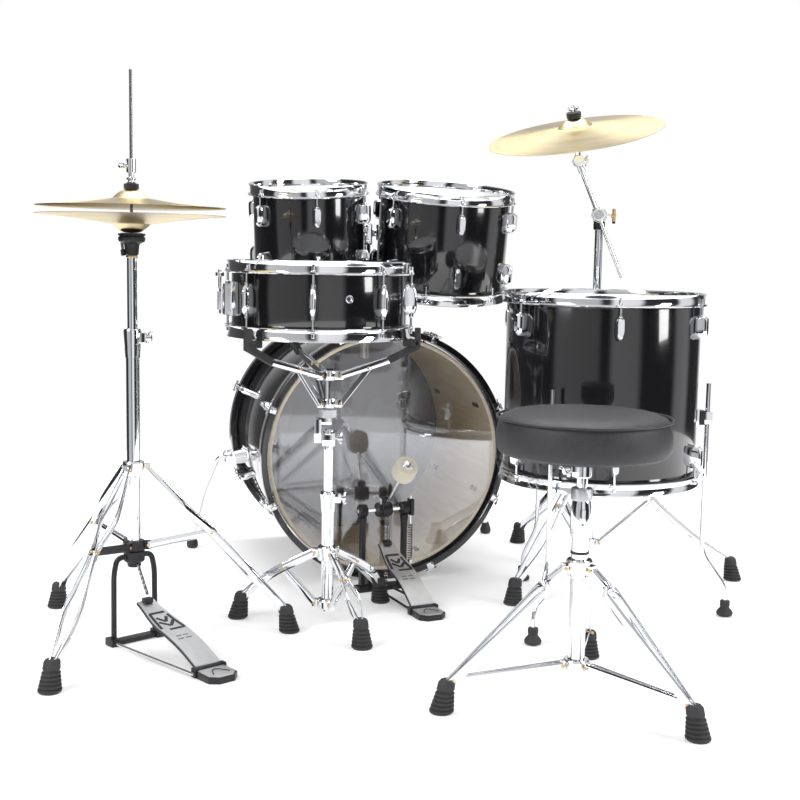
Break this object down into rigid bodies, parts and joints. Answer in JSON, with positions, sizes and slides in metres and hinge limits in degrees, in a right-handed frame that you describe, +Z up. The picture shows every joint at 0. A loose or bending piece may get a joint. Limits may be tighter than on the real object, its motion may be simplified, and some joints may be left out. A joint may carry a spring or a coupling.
{
  "type": "acoustic drum kit",
  "caption": "Acoustic drum kit in gloss black with chrome hardware: bass drum, toms, snare, hi-hat, crash cymbal, pedals and a round throne.",
  "frame": {"origin": "middle of the kit's footprint, on the floor", "axes": "+Z up, +Y from the drummer to the front of the kit, +X to the drummer's right"},
  "size_m": [1.5794, 1.5356, 1.1122],
  "materials": {
    "chrome": "polished",
    "gloss_black": "glossy with a fine sparkle",
    "drum_film": "satin translucent film",
    "clear_film": "clear film, slightly smoky",
    "black_film": "smooth film",
    "bronze": "lathed, brushed round its axis",
    "black_metal": "satin black",
    "board_aluminium": "fine cast satin",
    "vinyl": "fine-grained vinyl"
  },
  "bodies": {
    "standing_frame": {"bass_shell": "gloss_black", "bass_batter_head": "clear_film", "bass_resonant_head": "black_film", "bass_batter_hoop": "gloss_black", "bass_resonant_hoop": "gloss_black", "floor_tom_shell": "gloss_black", "floor_tom_batter_head": "drum_film", "floor_tom_resonant_head": "drum_film", "floor_tom_batter_hoop": "chrome", "floor_tom_resonant_hoop": "chrome", "hihat_lower_tube": "chrome", "hihat_tripod": "chrome", "hihat_pedal_frame": "black_metal", "crash_lower_tube": "chrome", "crash_tripod": "chrome", "throne_lower_tube": "chrome", "throne_tripod": "chrome", "snare_stand_lower_tube": "chrome", "snare_stand_tripod": "chrome", "kick_pedal_frame": "black_metal"},
    "bass_spur_left": {"bass_spur_left": "chrome"},
    "bass_spur_right": {"bass_spur_right": "chrome"},
    "tom_post": {"tom_holder_post": "chrome"},
    "small_tom": {"tom_holder_arm_left": "chrome", "small_tom_shell": "gloss_black", "small_tom_batter_head": "drum_film", "small_tom_resonant_head": "drum_film", "small_tom_batter_hoop": "chrome", "small_tom_resonant_hoop": "chrome"},
    "middle_tom": {"tom_holder_arm_right": "chrome", "middle_tom_shell": "gloss_black", "middle_tom_batter_head": "drum_film", "middle_tom_resonant_head": "drum_film", "middle_tom_batter_hoop": "chrome", "middle_tom_resonant_hoop": "chrome"},
    "floor_tom_leg_1": {"floor_tom_leg_1": "chrome"},
    "floor_tom_leg_2": {"floor_tom_leg_2": "chrome"},
    "floor_tom_leg_3": {"floor_tom_leg_3": "chrome"},
    "snare_stand_column": {"snare_stand_upper_tube": "chrome"},
    "snare": {"snare_stand_basket": "chrome", "snare_shell": "gloss_black", "snare_batter_head": "drum_film", "snare_resonant_head": "drum_film", "snare_batter_hoop": "chrome", "snare_resonant_hoop": "chrome", "snare_wires": "chrome"},
    "snare_strainer": {"snare_strainer_lever": "chrome"},
    "hihat_column": {"hihat_upper_tube": "chrome", "hihat_bottom_cymbal": "bronze"},
    "hihat_footboard": {"hihat_footboard": "board_aluminium"},
    "hihat_rod": {"hihat_pull_rod": "chrome"},
    "hihat_top": {"hihat_top_cymbal": "bronze", "hihat_clutch": "chrome"},
    "crash_column": {"crash_upper_tube": "chrome"},
    "crash_boom": {"crash_boom_arm": "chrome"},
    "crash_cymbal": {"crash_cymbal": "bronze"},
    "throne_post": {"throne_post": "chrome"},
    "throne_seat": {"throne_seat": "vinyl"},
    "kick_footboard": {"kick_footboard": "board_aluminium"},
    "kick_beater": {"kick_beater_shaft": "chrome"}
  },
  "joints": [
    {"name": "left_spur_fold", "type": "hinge", "parent": "standing_frame", "child": "bass_spur_left", "pos_m": [-0.4618, 0.4307, 0.254], "axis": [0.9598, 0.2807, 0], "range_deg": [0, 75]},
    {"name": "right_spur_fold", "type": "hinge", "parent": "standing_frame", "child": "bass_spur_right", "pos_m": [0.1444, 0.608, 0.254], "axis": [0.9598, 0.2807, 0], "range_deg": [0, 75]},
    {"name": "tom_post_height", "type": "slide", "parent": "standing_frame", "child": "tom_post", "axis": [0, 0, 1], "range_m": [-0.02, 0.05]},
    {"name": "small_tom_tilt", "type": "hinge", "parent": "tom_post", "child": "small_tom", "pos_m": [-0.149, 0.3783, 0.816], "axis": [1, 0, 0], "range_deg": [-8, 8]},
    {"name": "middle_tom_tilt", "type": "hinge", "parent": "tom_post", "child": "middle_tom", "pos_m": [-0.109, 0.3783, 0.816], "axis": [1, 0, 0], "range_deg": [-8, 8]},
    {"name": "floor_tom_leg_1_slide", "type": "slide", "parent": "standing_frame", "child": "floor_tom_leg_1", "axis": [0, 0, 1], "range_m": [0, 0.1]},
    {"name": "floor_tom_leg_2_slide", "type": "slide", "parent": "standing_frame", "child": "floor_tom_leg_2", "axis": [0, 0, 1], "range_m": [0, 0.1]},
    {"name": "floor_tom_leg_3_slide", "type": "slide", "parent": "standing_frame", "child": "floor_tom_leg_3", "axis": [0, 0, 1], "range_m": [0, 0.1]},
    {"name": "snare_stand_height", "type": "slide", "parent": "standing_frame", "child": "snare_stand_column", "axis": [0, 0, 1], "range_m": [-0.05, 0.04]},
    {"name": "snare_tilt", "type": "hinge", "parent": "snare_stand_column", "child": "snare", "pos_m": [-0.185, -0.1367, 0.39], "axis": [1, 0, 0], "range_deg": [-1.5, 10]},
    {"name": "strainer_throw", "type": "hinge", "parent": "snare", "child": "snare_strainer", "pos_m": [-0.3931, -0.1973, 0.6425], "axis": [0.3827, -0.9239, 0], "range_deg": [0, 55]},
    {"name": "hihat_height", "type": "slide", "parent": "standing_frame", "child": "hihat_column", "axis": [0, 0, 1], "range_m": [-0.05, 0.1]},
    {"name": "hihat_pedal_press", "type": "hinge", "parent": "standing_frame", "child": "hihat_footboard", "pos_m": [-0.3801, -0.4753, 0.0165], "axis": [-0.7349, -0.6782, 0], "range_deg": [0, 3.05]},
    {"name": "hihat_rod_pull", "type": "slide", "parent": "standing_frame", "child": "hihat_rod", "axis": [0, 0, -1], "range_m": [0, 0.0117], "stiffness_N_per_m": 900, "springref_m": -0.03},
    {"name": "hihat_clutch_slide", "type": "slide", "parent": "hihat_rod", "child": "hihat_top", "axis": [0, 0, 1], "range_m": [-0.05, 0.1]},
    {"name": "crash_height", "type": "slide", "parent": "standing_frame", "child": "crash_column", "axis": [0, 0, 1], "range_m": [-0.02, 0.12]},
    {"name": "crash_boom_tilt", "type": "hinge", "parent": "crash_column", "child": "crash_boom", "pos_m": [0.416, 0.2753, 0.865], "axis": [0, 1, 0], "range_deg": [0, 15]},
    {"name": "crash_cymbal_spin", "type": "hinge", "parent": "crash_boom", "child": "crash_cymbal", "pos_m": [0.3556, 0.2593, 1.047], "axis": [-0.1736, -0.2549, 0.9513], "continuous": true},
    {"name": "throne_height", "type": "slide", "parent": "standing_frame", "child": "throne_post", "axis": [0, 0, 1], "range_m": [-0.01, 0.12]},
    {"name": "throne_spin", "type": "hinge", "parent": "throne_post", "child": "throne_seat", "pos_m": [0.273, -0.5777, 0.44], "axis": [0, 0, 1], "continuous": true},
    {"name": "kick_pedal_press", "type": "hinge", "parent": "standing_frame", "child": "kick_footboard", "pos_m": [0.0165, -0.0654, 0.0165], "axis": [-0.9026, -0.4305, 0], "range_deg": [0, 13.4]},
    {"name": "kick_beater_swing", "type": "hinge", "parent": "standing_frame", "child": "kick_beater", "pos_m": [-0.073, 0.1223, 0.187], "axis": [-0.9026, -0.4305, 0], "range_deg": [0, 66], "stiffness_Nm_per_rad": 1.2, "springref_deg": -34.38}
  ],
  "couplings": [
    {"joint": "hihat_rod_pull", "follows": "hihat_pedal_press", "m_per_rad": 0.218},
    {"joint": "hihat_clutch_slide", "follows": "hihat_height", "ratio": 1},
    {"joint": "kick_beater_swing", "follows": "kick_pedal_press", "ratio": 4.9}
  ]
}
